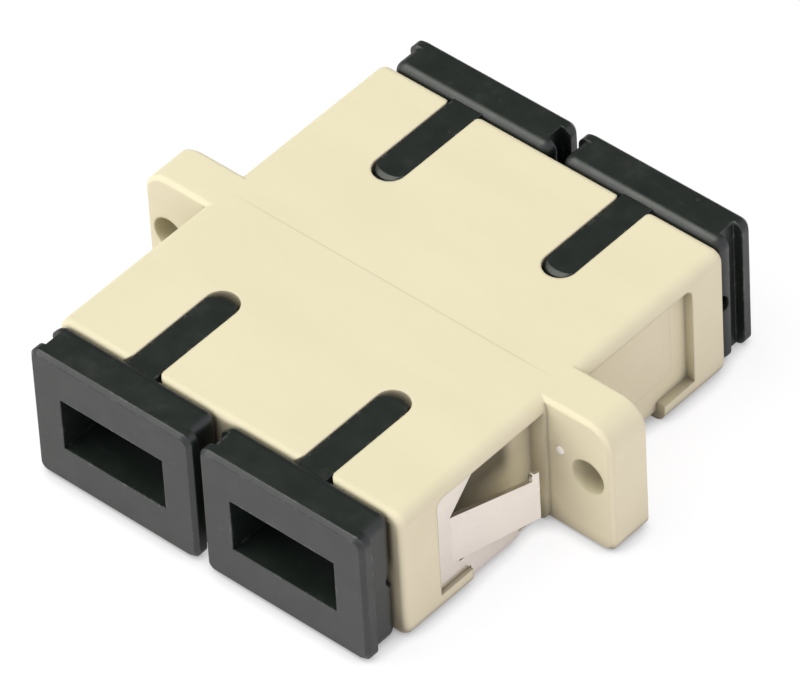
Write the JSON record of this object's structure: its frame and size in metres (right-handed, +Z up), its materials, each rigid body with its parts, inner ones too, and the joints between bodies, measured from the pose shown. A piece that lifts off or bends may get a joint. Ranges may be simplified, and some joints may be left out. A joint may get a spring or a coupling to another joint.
{
  "type": "duplex fibre optic adapter",
  "caption": "Flanged coupler with square snap-in ports side by side, a spring clip for a panel and pull-off dust caps.",
  "frame": {"origin": "middle of the underside, on the seam between the housing halves", "axes": "+X from ear to ear, +Y along the fibres to the rear ports, +Z up through the key slots"},
  "size_m": [0.0348, 0.0332, 0.0094],
  "materials": {
    "housing_plastic": "satin",
    "insert_plastic": "satin",
    "sleeve_bronze": "polished",
    "clip_steel": "satin",
    "cap_plastic": "satin"
  },
  "bodies": {
    "adapter": {"housing_front": "housing_plastic", "housing_rear": "housing_plastic", "panel_clip": "clip_steel", "latch_insert_front_left": "insert_plastic", "latch_insert_front_right": "insert_plastic", "latch_insert_rear_left": "insert_plastic", "latch_insert_rear_right": "insert_plastic", "alignment_sleeve_left": "sleeve_bronze", "alignment_sleeve_right": "sleeve_bronze"},
    "cap_front_left": {"dust_cap_front_left": "cap_plastic"},
    "cap_front_right": {"dust_cap_front_right": "cap_plastic"},
    "cap_rear_left": {"dust_cap_rear_left": "cap_plastic"},
    "cap_rear_right": {"dust_cap_rear_right": "cap_plastic"}
  },
  "joints": [
    {"name": "pull_front_left", "type": "slide", "parent": "adapter", "child": "cap_front_left", "axis": [0, -1, 0], "range_m": [0, 0.025]},
    {"name": "pull_front_right", "type": "slide", "parent": "adapter", "child": "cap_front_right", "axis": [0, -1, 0], "range_m": [0, 0.025]},
    {"name": "pull_rear_left", "type": "slide", "parent": "adapter", "child": "cap_rear_left", "axis": [0, 1, 0], "range_m": [0, 0.025]},
    {"name": "pull_rear_right", "type": "slide", "parent": "adapter", "child": "cap_rear_right", "axis": [0, 1, 0], "range_m": [0, 0.025]}
  ]
}
